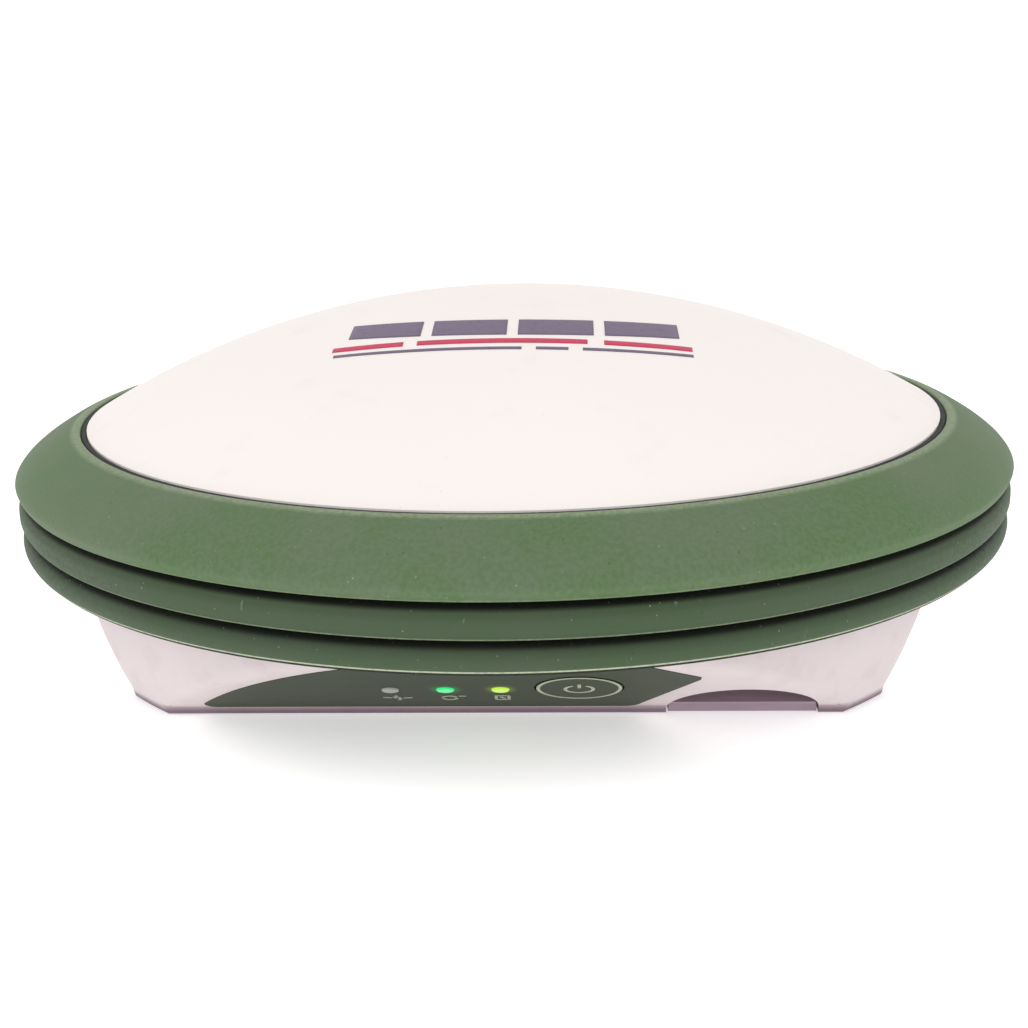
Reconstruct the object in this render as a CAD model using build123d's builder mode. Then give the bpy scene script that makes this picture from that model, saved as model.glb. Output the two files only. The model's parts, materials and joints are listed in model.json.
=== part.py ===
from build123d import *
import os
from math import cos, radians, sin, tan

# Satellite survey receiver: a domed radome and a squarish lower housing clamped together inside a
# ribbed rubber bumper. Millimetres, +Z up, front towards -Y, origin at the centre of the underside.

os.makedirs("parts", exist_ok=True)

# ---- driving dimensions ------------------------------------------------------------------------
bumper_d = 186.0  # across the widest rib of the bumper
overall_h = 60.4  # underside to the top of the dome
joint_z = 24.4  # plane where the radome meets the lower housing
fit_gap = 0.05  # fixed pieces pressed or glued into each other
part_gap = 0.35  # pieces that move past each other

# bumper
rubber_t = 5.0  # widest rib to the skirt that the bumper grips
rib_step = 0.2  # each rib is this much smaller than the one above it
lip_back = 0.8  # a rib's lower lip lies this far inside its bulge
groove_depth = 2.9
groove_h = 0.7  # open height of a groove, just below the lip above it
middle_rib_h = 5.7
lowest_rib_h = 4.9
lip_z = 18.85  # lower lip of the lowest rib
bumper_under_z = 18.35
rim_round = 0.3  # rounding of the edge beside the dome
bumper_grip = 0.1  # between the rubber and the skirt
under_step = 0.5  # the bumper's foot lies this far inside the lowest lip

# radome
dome_wall = 2.5
seam_inset = 13.1  # widest rib in to the dome's visible edge
seam_z = 39.0
seam_gap = 1.1  # open line between the dome and the bumper's inner rim
seam_drop = 2.4  # depth of that line
skirt_wall = 2.5
flange_w = 7.0  # clamping flange, skirt face inwards
radome_flange_t = 3.0
shoulder_step = 3.0  # shoulder to skirt, across
shoulder_fall = 2.2  # slant below the open line
skirt_fall = 3.2  # slant out to the skirt
seal_inset = 4.5  # skirt to the middle of the seal groove
seal_groove_w = 2.2
seal_groove_d = 1.4

# lower housing
base_half = 62.0  # centre to the foot of each side
drum_foot_r = 82.4  # corner lobes at the underside
drum_waist_r = 85.2
drum_waist_z = 8.0
drum_top_r = 86.0  # corner lobes under the bumper
strip_h = 1.3  # upright strip below each slanted side
face_slope = 36.2  # front and rear, degrees from the horizontal
side_slope = 65.0  # left and right
crease_r = 3.0
foot_edge_r = 0.6
wall = 2.5
floor_t = 3.0

# clamping screws
screw_circle_r = 79.0
screw_r = 1.5
screw_head_r = 2.75
screw_head_h = 2.0
screw_sink = 4.0  # depth of the counterbore
screw_engage = 9.0  # length in the radome's bosses
column_r = 3.6
screw_gap = 0.2
hex_r = 1.3
hex_depth = 1.2

# pole thread
thread_r = 7.94  # 5/8 inch pole stud
insert_r = 11.0
insert_h = 15.0
boss_wall = 2.2
boss_roof = 2.0

# control panel on the front slope; lengths along the slope
panel_t = 0.6
panel_sink = 0.5
panel_foot = 0.6
panel_top = 24.5
panel_tip_x = -47.9
panel_tip_y = 2.7
panel_head_half = 24.3
arrow_x = 31.0
arrow_y = 18.1
arrow_foot_x = 21.4
led_y = 11.8
led_pitch = 8.5
led_first_x = -16.8
led_r = 1.4
button_x = 12.3
button_y = 12.7
button_r = 6.6
button_travel = 0.6
button_stem_r = 2.0
button_gap = 0.3  # around the button and its stem
button_well = 1.3  # room under the button
lens_proud = 0.25
indicator_board_t = 1.2
indicator_gap = 2.0  # wall to the indicator board
indicator_w = 44.0
indicator_h = 13.0
switch_w = 5.0
switch_t = 0.9

# battery and its door
door_x = 38.4
battery_w = 37.5
battery_l = 71.0
battery_h = 13.0
battery_y = -1.5
side_clear = 0.6
front_clear = 2.0
rear_clear = 1.0
roof_clear = 1.0
well_wall = 2.0
seal_ledge = 2.2
seal_t = 0.55
door_t = 2.2
door_lift = 0.2  # door face above the underside
rail_h = 3.6
rail_t = 1.0
hinge_r = 2.5
pin_r = 1.0
hinge_run = 0.06
hinge_lug_w = 10.0
tongue_step = 4.2  # opening's front edge ahead of the well
recess_half = 12.2
recess_top_z = 7.7
recess_low_z = 0.4  # level where the arch is widest
recess_back_y = -56.5
recess_wall = 2.2
latch_w = 8.0
latch_l = 6.4
latch_travel = 3.0
latch_y = -49.6
latch_t = 0.8
latch_pitch = 1.6  # grip grooves
bolt_w = 3.4
bolt_t = 1.0

# electronics
board_t = 1.6
board_z = 21.4
board_edge_gap = 17.0  # clamping flange to the board's edge
post_x = 46.0
post_y = 36.0
post_r = 4.0
stud_r = 1.4
stud_gap = 0.15
stud_depth = 4.2
standoff_r = 2.8
standoff_h = 10.0
ground_plane_r = 66.0
ground_plane_t = 2.0
lower_patch_r = 45.0
lower_patch_t = 6.0
upper_patch_r = 30.0
upper_patch_t = 5.0
foil_t = 0.4
foil_inset = 8.0
feed_circle_r = 14.0
feed_pin_r = 0.6

# rear fittings; lengths along the rear slope
port_x = 18.0
port_y = 15.0
port_shell_r = 6.0
port_flange_r = 7.6
port_flange_t = 0.8
port_depth = 7.0
port_bore_r = 4.3
cap_r = 7.0
cap_t = 2.6
cap_plug_r = 4.0
cap_plug_l = 2.5
vent_x = -22.0
vent_y = 13.0
vent_r = 3.0
vent_flange_r = 4.4
label_w = 36.0
label_l = 40.0
label_t = 0.45
label_x = -38.0
label_sink = 0.15

# ---- sizes that follow -------------------------------------------------------------------------
bumper_r = bumper_d / 2
skirt_r = bumper_r - rubber_t
seam_r = bumper_r - seam_inset
flange_in_r = skirt_r - flange_w
dome_rise = overall_h - seam_z
dome_r = (seam_r**2 + dome_rise**2) / (2 * dome_rise)
slope_sin = sin(radians(face_slope))
slope_cos = cos(radians(face_slope))
well_half = battery_w / 2 + side_clear
well_front = battery_y - battery_l / 2 - front_clear
well_rear = battery_y + battery_l / 2 + rear_clear
battery_z = door_lift + door_t + 0.1
well_roof_z = battery_z + battery_h + roof_clear
block_top_z = well_roof_z + well_wall
opening_half = well_half + seal_ledge
hinge_y = well_rear + well_wall + hinge_r + 1.0
hinge_z = door_lift + hinge_r + 0.2
tongue_half = recess_half - part_gap
opening_front = well_front - tongue_step
opening_rear = hinge_y + hinge_r + 0.9
board_r = flange_in_r - board_edge_gap
ground_z = board_z + board_t + standoff_h
patch_z = ground_z + ground_plane_t
posts = [(sx * post_x, sy * post_y) for sx in (-1, 1) for sy in (-1, 1)]
columns = [(sx * screw_circle_r * cos(radians(45)), sy * screw_circle_r * sin(radians(45)))
           for sx in (-1, 1) for sy in (-1, 1)]

# the slanted front and rear: local Y runs up the slope, local Z points out of the housing
front_face = Plane(origin=(0, -base_half, strip_h), x_dir=(1, 0, 0), z_dir=(0, -slope_sin, -slope_cos))
rear_face = Plane(origin=(0, base_half, strip_h), x_dir=(-1, 0, 0), z_dir=(0, slope_sin, -slope_cos))


def save(block, label):
    """Names a finished piece and writes its STEP file."""
    block.part.label = label
    export_step(block.part, f"parts/{label}.step")


def slope_cutter(slope, setback, turn, top):
    """What lies outside one side of the housing up to top, with the side moved in by setback."""
    foot = base_half - setback / sin(radians(slope))
    far = bumper_d
    with BuildPart() as cutter:
        with BuildSketch(Plane.XZ):
            with BuildLine():
                Polyline(
                    (foot, -1),
                    (foot, strip_h),
                    (foot + (top - strip_h) / tan(radians(slope)), top),
                    (far, top),
                    (far, -1),
                    close=True,
                )
            make_face()
        extrude(amount=bumper_d, both=True)
    return cutter.part.rotate(Axis.Z, turn)


# ---- lower housing -----------------------------------------------------------------------------
sides = ((side_slope, 0), (face_slope, 90), (side_slope, 180), (face_slope, 270))

with BuildPart() as body_blank:
    # a round drum whose corners are the lobes, cut back by four slanted sides
    with BuildSketch(Plane.XZ):
        with BuildLine():
            lobe_side = ThreePointArc(
                (drum_foot_r, 0),
                (drum_waist_r, drum_waist_z),
                (drum_top_r, joint_z),
            )
            Polyline(lobe_side @ 1, (0, joint_z), (0, 0), lobe_side @ 0)
        make_face()
    revolve(axis=Axis.Z)
    for slope, turn in sides:
        add(slope_cutter(slope, 0, turn, joint_z + 6), mode=Mode.SUBTRACT)
    creases = [e for e in edges() if e.geom_type not in (GeomType.LINE, GeomType.CIRCLE)]
    fillet([e for e in creases if e.length > 2 * crease_r], crease_r)
    fillet(faces().sort_by(Axis.Z)[0].edges(), foot_edge_r)

with BuildPart() as interior_fill:
    # battery well, hinge pocket, thumb recess, thread boss, posts and columns stand on the floor
    with BuildSketch(Plane.XY):
        with Locations((door_x, (well_front - seal_ledge - 1 + opening_rear + well_wall) / 2)):
            Rectangle(
                2 * (opening_half + well_wall),
                opening_rear + well_wall - (well_front - seal_ledge - 1),
            )
    extrude(amount=block_top_z)
    with BuildSketch(Plane.XY):
        with Locations((door_x, recess_back_y - 9)):
            Rectangle(2 * (recess_half + recess_wall), 2 * (recess_back_y - opening_front) * -1 + 12)
    extrude(amount=recess_top_z + recess_wall)
    Cylinder(insert_r + boss_wall, insert_h + boss_roof, align=(Align.CENTER, Align.CENTER, Align.MIN))
    with BuildSketch(Plane.XY):
        with Locations(*posts):
            Circle(post_r)
    extrude(amount=board_z)
    with BuildSketch(Plane.XY):
        with Locations(*columns):
            Circle(column_r)
    extrude(amount=joint_z)

with BuildPart() as hollow:
    # the room inside, less everything that stands in it
    with BuildSketch(Plane.XY.offset(floor_t)):
        Circle(flange_in_r)
    extrude(amount=joint_z)
    for slope, turn in sides:
        add(slope_cutter(slope, wall, turn, bumper_under_z + wall), mode=Mode.SUBTRACT)
    add(interior_fill.part, mode=Mode.SUBTRACT)

with BuildPart() as lower_housing:
    add(body_blank.part)
    with BuildSketch(Plane.XY.offset(bumper_under_z)):
        Circle(skirt_r)
    extrude(amount=joint_z - bumper_under_z)
    add(hollow.part, mode=Mode.SUBTRACT)
    # battery well and the opening that its door closes
    with BuildSketch(Plane.XY.offset(floor_t - 0.5)):
        with Locations((door_x, (well_front + well_rear) / 2)):
            Rectangle(2 * well_half, well_rear - well_front)
    extrude(amount=well_roof_z - floor_t + 0.5, mode=Mode.SUBTRACT)
    with BuildSketch(Plane.XY):
        with Locations((door_x, (opening_front + opening_rear) / 2)):
            RectangleRounded(2 * opening_half, opening_rear - opening_front, 2.0)
    extrude(amount=floor_t, mode=Mode.SUBTRACT)
    with BuildSketch(Plane.XY):
        with Locations((door_x, (recess_back_y + opening_front) / 2)):
            Rectangle(2 * recess_half, opening_front - recess_back_y + 2)
    extrude(amount=door_lift + door_t + part_gap, mode=Mode.SUBTRACT)
    # hinge pocket, with the middle lug left standing
    with BuildSketch(Plane.XY):
        with Locations((door_x, (well_rear + well_wall + opening_rear) / 2)):
            Rectangle(2 * well_half - 4, opening_rear - well_rear - well_wall)
    extrude(amount=hinge_z + hinge_r + 1.5, mode=Mode.SUBTRACT)
    with BuildSketch(Plane.YZ.offset(door_x)):
        with Locations((hinge_y, hinge_z)):
            Circle(hinge_r)
        with Locations((hinge_y, hinge_z + hinge_r)):
            Rectangle(2 * hinge_r, 2 * hinge_r + 1)
    extrude(amount=hinge_lug_w / 2, both=True)
    with BuildSketch(Plane.YZ.offset(door_x)):
        with Locations((hinge_y, hinge_z)):
            Circle(pin_r + 0.01)
    extrude(amount=well_half - 0.5, both=True, mode=Mode.SUBTRACT)
    # thumb recess over the door's pull tab
    with BuildSketch(Plane.XZ.offset(-recess_back_y)):
        with Locations((door_x, recess_low_z)):
            Ellipse(recess_half, recess_top_z - recess_low_z)
    extrude(amount=base_half, mode=Mode.SUBTRACT)
    # keeper for the latch bolt
    with BuildSketch(Plane.XY.offset(door_lift + latch_t)):
        with Locations((door_x + tongue_half + (latch_travel + 1) / 2, latch_y)):
            Rectangle(latch_travel + 1.8, bolt_w + 2 * part_gap)
    extrude(amount=bolt_t + 2 * part_gap, mode=Mode.SUBTRACT)
    # pole thread insert
    with BuildSketch(Plane.XY):
        Circle(insert_r)
    extrude(amount=insert_h + fit_gap, mode=Mode.SUBTRACT)
    # screws through the corner columns
    with BuildSketch(Plane.XY):
        with Locations(*columns):
            Circle(screw_head_r + part_gap)
    extrude(amount=screw_sink, mode=Mode.SUBTRACT)
    with BuildSketch(Plane.XY):
        with Locations(*columns):
            Circle(screw_r + screw_gap)
    extrude(amount=joint_z, mode=Mode.SUBTRACT)
    with BuildSketch(Plane.XY.offset(board_z)):
        with Locations(*posts):
            Circle(stud_r + 0.02)
    extrude(amount=-stud_depth, mode=Mode.SUBTRACT)
    # seal groove in the clamping flange
    with BuildSketch(Plane.XY.offset(joint_z)):
        Circle(skirt_r - seal_inset + seal_groove_w / 2)
        Circle(skirt_r - seal_inset - seal_groove_w / 2, mode=Mode.SUBTRACT)
    extrude(amount=-seal_groove_d, mode=Mode.SUBTRACT)

with BuildSketch(front_face) as panel_outline:
    with BuildLine():
        foot_line = Line((panel_tip_x + 2.6, panel_foot), (arrow_foot_x - 1.2, panel_foot))
        foot_corner = Spline(
            foot_line @ 1,
            (arrow_foot_x, panel_foot + 0.7),
            (arrow_foot_x + 0.8, panel_foot + 2),
        )
        arrow_low = Line(foot_corner @ 1, (arrow_x - 0.5, arrow_y - 0.7))
        arrow_tip = Line(arrow_low @ 1, (arrow_x - 0.5, arrow_y + 0.5))
        arrow_high = Line(arrow_tip @ 1, (panel_head_half - 1.5, panel_top))
        head_line = Line(arrow_high @ 1, (-panel_head_half + 2.6, panel_top))
        sweep_line = ThreePointArc(head_line @ 1, (-37.2, 15.2), (panel_tip_x, panel_tip_y))
        tip_line = ThreePointArc(sweep_line @ 1, (panel_tip_x + 0.5, panel_foot + 0.5), foot_line @ 0)
    make_face()

lens_places = [(led_first_x + n * led_pitch, led_y) for n in range(3)]

with lower_housing:
    # panel bed, lens holes and button hole in the front slope
    with BuildSketch(front_face):
        add(front_face.to_local_coords(panel_outline.sketch))
    extrude(amount=-panel_sink, mode=Mode.SUBTRACT)
    with BuildSketch(front_face):
        with Locations(*lens_places):
            Circle(led_r + fit_gap)
        with Locations((button_x, button_y)):
            Circle(button_stem_r + button_gap)
    extrude(amount=-(wall + 1), mode=Mode.SUBTRACT)
    with BuildSketch(front_face):
        with Locations((button_x, button_y)):
            Circle(button_r + button_gap)
    extrude(amount=-(panel_sink + button_well), mode=Mode.SUBTRACT)
    # rear port and vent
    with BuildSketch(rear_face):
        with Locations((port_x, port_y)):
            Circle(port_shell_r + fit_gap)
        with Locations((vent_x, vent_y)):
            Circle(vent_r + fit_gap)
    extrude(amount=-(wall + 3), mode=Mode.SUBTRACT)
    # bed for the blank label plate
    with BuildSketch(Plane.XY):
        with Locations((label_x, 0)):
            RectangleRounded(label_w + 0.2, label_l + 0.2, 2.0)
    extrude(amount=label_t + label_sink, mode=Mode.SUBTRACT)
save(lower_housing, "lower_housing")

# ---- radome ------------------------------------------------------------------------------------
# outline of the outside, from the top down to the clamping plane
shoulder_z = seam_z - seam_drop
shoulder_out_r = skirt_r - shoulder_step
shoulder_low_z = shoulder_z - shoulder_fall
with BuildPart() as dome_blank:
    with BuildSketch(Plane.XZ):
        with BuildLine():
            RadiusArc((0, overall_h), (seam_r, seam_z), dome_r)
            Polyline(
                (seam_r, seam_z),
                (seam_r, shoulder_z),
                (shoulder_out_r, shoulder_low_z),
                (skirt_r, shoulder_low_z - skirt_fall),
                (skirt_r, joint_z),
                (0, joint_z),
                (0, overall_h),
            )
        make_face()
    revolve(axis=Axis.Z)

with BuildPart() as dome_cavity:
    with BuildSketch(Plane.XZ):
        with BuildLine():
            cap_drop = dome_r - dome_wall - ((dome_r - dome_wall) ** 2 - (seam_r - skirt_wall) ** 2) ** 0.5
            dome_inside = RadiusArc(
                (0, overall_h - dome_wall),
                (seam_r - skirt_wall, overall_h - dome_wall - cap_drop),
                dome_r - dome_wall,
            )
            Polyline(
                dome_inside @ 1,
                (seam_r - skirt_wall, shoulder_z - skirt_wall),
                (skirt_r - skirt_wall, shoulder_low_z - skirt_fall - skirt_wall),
                (skirt_r - skirt_wall, joint_z + radome_flange_t + 0.2),
                (flange_in_r, joint_z + radome_flange_t),
                (flange_in_r, joint_z),
                (0, joint_z),
                (0, overall_h - dome_wall),
            )
        make_face()
    revolve(axis=Axis.Z)
    with BuildSketch(Plane.XY.offset(joint_z)):
        with Locations(*columns):
            Circle(column_r)
    extrude(amount=overall_h, mode=Mode.SUBTRACT)

with BuildPart() as radome:
    add(dome_blank.part)
    add(dome_cavity.part, mode=Mode.SUBTRACT)
    with BuildSketch(Plane.XY.offset(joint_z)):
        with Locations(*columns):
            Circle(screw_r + fit_gap)
    extrude(amount=screw_engage + 1, mode=Mode.SUBTRACT)
save(radome, "radome")

with BuildPart() as dome_seal:
    with BuildSketch(Plane.XZ):
        with Locations((skirt_r - seal_inset, joint_z - seal_groove_d / 2)):
            RectangleRounded(seal_groove_w - 0.2, seal_groove_d - 0.1, 0.5)
    revolve(axis=Axis.Z)
save(dome_seal, "dome_seal")

# ---- bumper ------------------------------------------------------------------------------------
ribs = [
    (bumper_r, lip_z + lowest_rib_h + middle_rib_h),
    (bumper_r - rib_step, lip_z + lowest_rib_h),
    (bumper_r - 2 * rib_step, lip_z),
]
groove_r = bumper_r - groove_depth
grip_r = skirt_r + bumper_grip
with BuildPart() as bumper_ring:
    with BuildSketch(Plane.XZ):
        with BuildLine():
            (top_r, top_lip_z) = ribs[0]
            rim = (seam_r + seam_gap, seam_z - 2 * rim_round)
            rim_top = (rim[0] + 2 * rim_round, seam_z - 0.05)
            rim_edge = ThreePointArc(rim, (rim[0] + rim_round / 2, seam_z - rim_round / 2), rim_top)
            band = Spline(
                rim_edge @ 1,
                (top_r - 6.3, seam_z - 2.3),
                (top_r - 1.5, top_lip_z + 4.2),
                (top_r, top_lip_z + 1.8),
                (top_r - lip_back, top_lip_z),
                tangents=((1, -0.12), (-0.75, -1)),
            )
            corner = band @ 1
            for (_, above_z), (rib_r, rib_lip_z) in zip(ribs, ribs[1:]):
                undercut = Line(corner, (groove_r + 0.3, above_z))
                turn = ThreePointArc(
                    undercut @ 1,
                    (groove_r, above_z - groove_h / 2),
                    (groove_r + 0.3, above_z - groove_h),
                )
                bulge = Spline(
                    turn @ 1,
                    (rib_r - 1.1, above_z - groove_h - 0.5),
                    (rib_r, rib_lip_z + 2.0),
                    (rib_r - lip_back, rib_lip_z),
                    tangents=((1, -0.3), (-0.6, -1)),
                )
                corner = bulge @ 1
            under = Polyline(
                corner,
                (corner.X - under_step, bumper_under_z),
                (grip_r, bumper_under_z),
                (grip_r, shoulder_low_z - skirt_fall + bumper_grip),
                (shoulder_out_r + bumper_grip, shoulder_low_z + bumper_grip),
                (rim[0], shoulder_z + bumper_grip),
                rim,
            )
        make_face()
    revolve(axis=Axis.Z)
save(bumper_ring, "bumper_ring")

# ---- control panel, lenses and button ----------------------------------------------------------
with BuildPart() as control_panel:
    with BuildSketch(front_face.offset(-panel_sink)):
        add(front_face.to_local_coords(panel_outline.sketch))
        with Locations(*lens_places):
            Circle(led_r + fit_gap, mode=Mode.SUBTRACT)
        with Locations((button_x, button_y)):
            Circle(button_r + button_gap, mode=Mode.SUBTRACT)
    extrude(amount=panel_t)
save(control_panel, "control_panel")

lens_length = wall + panel_t - panel_sink + 0.3
for (lens_x, lens_y), side in zip(lens_places, ("left", "middle", "right")):
    with BuildPart() as lens:
        with BuildSketch(front_face.offset(panel_t - panel_sink + lens_proud)):
            with Locations((lens_x, lens_y)):
                Circle(led_r)
        extrude(amount=-lens_length)
        fillet(lens.faces().sort_by(Axis.Z)[0].edges(), 0.3)
    save(lens, f"indicator_lens_{side}")

with BuildPart() as power_button:
    with BuildSketch(front_face.offset(-panel_sink)):
        with Locations((button_x, button_y)):
            Circle(button_r)
    extrude(amount=panel_t + 0.1)
    with BuildSketch(front_face.offset(-panel_sink)):
        with Locations((button_x, button_y)):
            Circle(button_stem_r)
    extrude(amount=-(wall - panel_sink - 0.4))
save(power_button, "power_button")

board_depth = wall + indicator_gap
with BuildPart() as indicator_board:
    with BuildSketch(front_face.offset(-board_depth)):
        with Locations((-1.0, led_y)):
            RectangleRounded(indicator_w, indicator_h, 1.5)
    extrude(amount=-indicator_board_t)
save(indicator_board, "indicator_board")

with BuildPart() as status_leds:
    with BuildSketch(front_face.offset(-board_depth)):
        with Locations(*lens_places):
            Rectangle(1.6, 0.9)
    extrude(amount=0.6)
save(status_leds, "status_leds")

with BuildPart() as tact_switch:
    with BuildSketch(front_face.offset(-board_depth)):
        with Locations((button_x, button_y)):
            RectangleRounded(switch_w, switch_w, 0.5)
    extrude(amount=switch_t)
    with BuildSketch(front_face.offset(-board_depth)):
        with Locations((button_x, button_y)):
            Circle(1.2)
    extrude(amount=indicator_gap + 0.4 - button_travel - 0.15)
save(tact_switch, "tact_switch")

# ---- battery door, latch and battery -----------------------------------------------------------
door_top_z = door_lift + door_t
door_half = opening_half - part_gap
door_front = opening_front + part_gap
lug_places = [door_x - hinge_lug_w - part_gap, door_x + hinge_lug_w + part_gap]
with BuildPart() as battery_door:
    with BuildSketch(Plane.XY.offset(door_lift)):
        with Locations((door_x, (door_front + hinge_y - hinge_r - 0.6) / 2)):
            RectangleRounded(2 * door_half, hinge_y - hinge_r - 0.6 - door_front, 1.8)
        with Locations((door_x, (-base_half - 6 + door_front + 4) / 2)):
            Rectangle(2 * tongue_half, door_front + 4 + base_half + 6)
    extrude(amount=door_t)
    add(slope_cutter(face_slope, 0.3, 270, joint_z), mode=Mode.SUBTRACT)
    # the tab's sides follow the arch of the recess
    with BuildSketch(Plane.XZ.offset(-recess_back_y - part_gap)):
        with Locations((door_x, 0)):
            Rectangle(4 * recess_half, 2 * recess_top_z)
        with Locations((door_x, recess_low_z)):
            Ellipse(tongue_half, recess_top_z - recess_low_z, mode=Mode.SUBTRACT)
    extrude(amount=base_half, mode=Mode.SUBTRACT)
    # rails that locate the battery
    for rail_y in (well_front + front_clear - rail_t, well_rear - rear_clear):
        with BuildSketch(Plane.XY.offset(door_top_z)):
            with Locations((door_x, rail_y + rail_t / 2 + (-0.1 if rail_y < 0 else 0.0))):
                Rectangle(battery_w - 8, rail_t - 0.2)
        extrude(amount=rail_h)
    # hinge lugs
    for lug_x in lug_places:
        with BuildSketch(Plane.YZ.offset(lug_x)):
            with Locations((hinge_y, hinge_z)):
                Circle(hinge_r)
            with Locations((hinge_y - hinge_r / 2 - 0.8, door_lift + door_t / 2)):
                Rectangle(hinge_r + 1.6, door_t)
        extrude(amount=hinge_lug_w / 2, both=True)
    with BuildSketch(Plane.YZ.offset(door_x)):
        with Locations((hinge_y, hinge_z)):
            Circle(pin_r + hinge_run)
    extrude(amount=opening_half, both=True, mode=Mode.SUBTRACT)
    # latch pocket below, bolt channel above
    with BuildSketch(Plane.XY.offset(door_lift)):
        with Locations((door_x + latch_travel / 2, latch_y)):
            RectangleRounded(latch_w + latch_travel + 2 * part_gap, latch_l + 2 * part_gap, 0.8)
    extrude(amount=latch_t + 0.1, mode=Mode.SUBTRACT)
    with BuildSketch(Plane.XY.offset(door_lift + latch_t)):
        with Locations((door_x + (tongue_half + 2 - latch_w / 2) / 2, latch_y)):
            Rectangle(tongue_half + 2 + latch_w / 2 + 2 * part_gap, bolt_w + 2 * part_gap)
    extrude(amount=door_t, mode=Mode.SUBTRACT)
save(battery_door, "battery_door")

with BuildPart() as door_latch:
    with BuildSketch(Plane.XY.offset(door_lift)):
        with Locations((door_x, latch_y)):
            RectangleRounded(latch_w, latch_l, 0.6)
    extrude(amount=latch_t)
    # grip grooves for a thumb nail
    with BuildSketch(Plane.XY.offset(door_lift)):
        with Locations((door_x, latch_y)):
            with GridLocations(latch_pitch, 1, 4, 1):
                Rectangle(0.6, latch_l - latch_pitch)
    extrude(amount=0.3, mode=Mode.SUBTRACT)
    with BuildSketch(Plane.XY.offset(door_lift + latch_t)):
        with Locations((door_x + (tongue_half - 0.3 - latch_w / 2 + 0.4) / 2, latch_y)):
            Rectangle(tongue_half - 0.3 + latch_w / 2 - 0.4, bolt_w)
    extrude(amount=bolt_t)
save(door_latch, "door_latch")

with BuildPart() as door_seal:
    with BuildSketch(Plane.XY.offset(door_top_z)):
        with Locations((door_x, (well_front + well_rear) / 2)):
            RectangleRounded(2 * well_half + 3.4, well_rear - well_front + 3.4, 1.6)
            RectangleRounded(2 * well_half + 0.8, well_rear - well_front + 0.8, 1.0, mode=Mode.SUBTRACT)
    extrude(amount=seal_t)
save(door_seal, "door_seal")

with BuildPart() as door_hinge_pin:
    with BuildSketch(Plane.YZ.offset(door_x)):
        with Locations((hinge_y, hinge_z)):
            Circle(pin_r)
    extrude(amount=well_half - 0.8, both=True)
save(door_hinge_pin, "door_hinge_pin")

with BuildPart() as battery_pack:
    with BuildSketch(Plane.XY.offset(battery_z)):
        with Locations((door_x, battery_y)):
            RectangleRounded(battery_w, battery_l, 3.0)
    extrude(amount=battery_h)
    fillet(battery_pack.faces().sort_by(Axis.Z)[-1].edges(), 0.8)
save(battery_pack, "battery_pack")

contact_y = battery_y + battery_l / 2 - 7
with BuildPart() as battery_terminals:
    with BuildSketch(Plane.XY.offset(battery_z + battery_h)):
        with Locations((door_x, contact_y)):
            with GridLocations(6.0, 1, 4, 1):
                Rectangle(3.0, 6.0)
    extrude(amount=0.1)
save(battery_terminals, "battery_terminals")

with BuildPart() as battery_contacts:
    with BuildSketch(Plane.XY.offset(well_roof_z)):
        with Locations((door_x, contact_y)):
            with GridLocations(6.0, 1, 4, 1):
                Rectangle(2.0, 5.0)
    extrude(amount=-(roof_clear - 0.4))
save(battery_contacts, "battery_contacts")

# ---- pole thread, screws, label ----------------------------------------------------------------
with BuildPart() as threaded_insert:
    with BuildSketch(Plane.XY):
        Circle(insert_r - fit_gap)
    extrude(amount=insert_h)
    with BuildSketch(Plane.XY):
        Circle(thread_r)
    extrude(amount=insert_h, mode=Mode.SUBTRACT)
save(threaded_insert, "threaded_insert")

with BuildPart() as housing_screws:
    with BuildSketch(Plane.XY.offset(screw_sink - screw_head_h)):
        with Locations(*columns):
            Circle(screw_head_r)
    extrude(amount=screw_head_h)
    with BuildSketch(Plane.XY.offset(screw_sink)):
        with Locations(*columns):
            Circle(screw_r)
    extrude(amount=joint_z + screw_engage - screw_sink)
    with BuildSketch(Plane.XY.offset(screw_sink - screw_head_h)):
        with Locations(*columns):
            RegularPolygon(hex_r, 6)
    extrude(amount=hex_depth, mode=Mode.SUBTRACT)
save(housing_screws, "housing_screws")

with BuildPart() as label_plate:
    with BuildSketch(Plane.XY.offset(label_sink)):
        with Locations((label_x, 0)):
            RectangleRounded(label_w, label_l, 1.9)
    extrude(amount=label_t)
save(label_plate, "label_plate")

# ---- main board --------------------------------------------------------------------------------
board_top = board_z + board_t
link_place = (-18.0, 46.0)
with BuildPart() as main_board:
    with BuildSketch(Plane.XY.offset(board_z)):
        Circle(board_r)
        with Locations(*posts):
            Circle(stud_r + stud_gap, mode=Mode.SUBTRACT)
    extrude(amount=board_t)
save(main_board, "main_board")


def can(place, width, length, height, label, low_z=board_top):
    """A pressed shield can with rounded corners."""
    with BuildPart() as shell:
        with BuildSketch(Plane.XY.offset(low_z)):
            with Locations(place):
                RectangleRounded(width, length, 1.2)
        extrude(amount=height)
        fillet(shell.faces().sort_by(Axis.Z)[-1].edges(), 0.5)
        offset(amount=-0.3, openings=shell.faces().sort_by(Axis.Z)[0], kind=Kind.INTERSECTION)
    save(shell, label)


can((-24, -12), 34, 26, 3.4, "rf_shield")
can((22, -14), 28, 28, 3.0, "processor_shield")
can((0, -46), 18, 12, 2.4, "wireless_shield")

with BuildPart() as board_chips:
    for place, width, length, height in (
        ((-36, 18), 10, 10, 1.2),
        ((-20, 20), 7, 7, 1.0),
        ((4, 16), 14, 14, 1.4),
        ((24, 16), 9, 12, 1.1),
        ((40, 6), 6, 5, 1.0),
        ((8, 38), 12, 6, 1.8),
    ):
        with BuildSketch(Plane.XY.offset(board_top)):
            with Locations(place):
                Rectangle(width, length)
        extrude(amount=height)
save(board_chips, "board_chips")

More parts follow.
